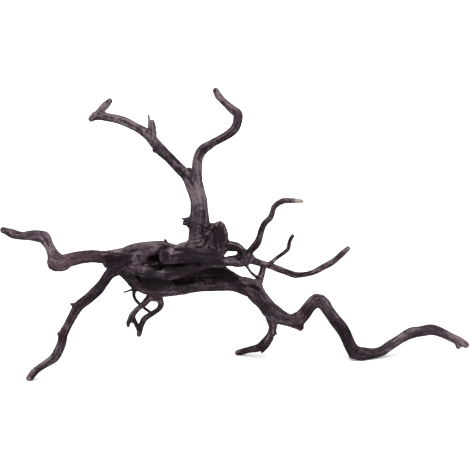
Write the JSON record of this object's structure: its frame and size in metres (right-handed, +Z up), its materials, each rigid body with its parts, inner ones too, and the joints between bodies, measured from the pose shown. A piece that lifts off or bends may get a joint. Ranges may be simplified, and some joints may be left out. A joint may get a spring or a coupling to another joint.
{
  "type": "spiderwood root",
  "caption": "Branching piece of dried spiderwood root: low spreading limbs with a forked upright branch, standing free on its root tips.",
  "frame": {"origin": "centre of the bounding box in plan, at the plane the toes rest on", "axes": "+Z up, +X to the viewer's right along the root's length, +Y to the back"},
  "size_m": [0.4798, 0.1146, 0.2798],
  "materials": {
    "weathered_root_wood": "dry, unfinished, dark purple-brown root wood with fine grain"
  },
  "bodies": {
    "root": {"spiderwood_root": "weathered_root_wood"}
  },
  "joints": []
}
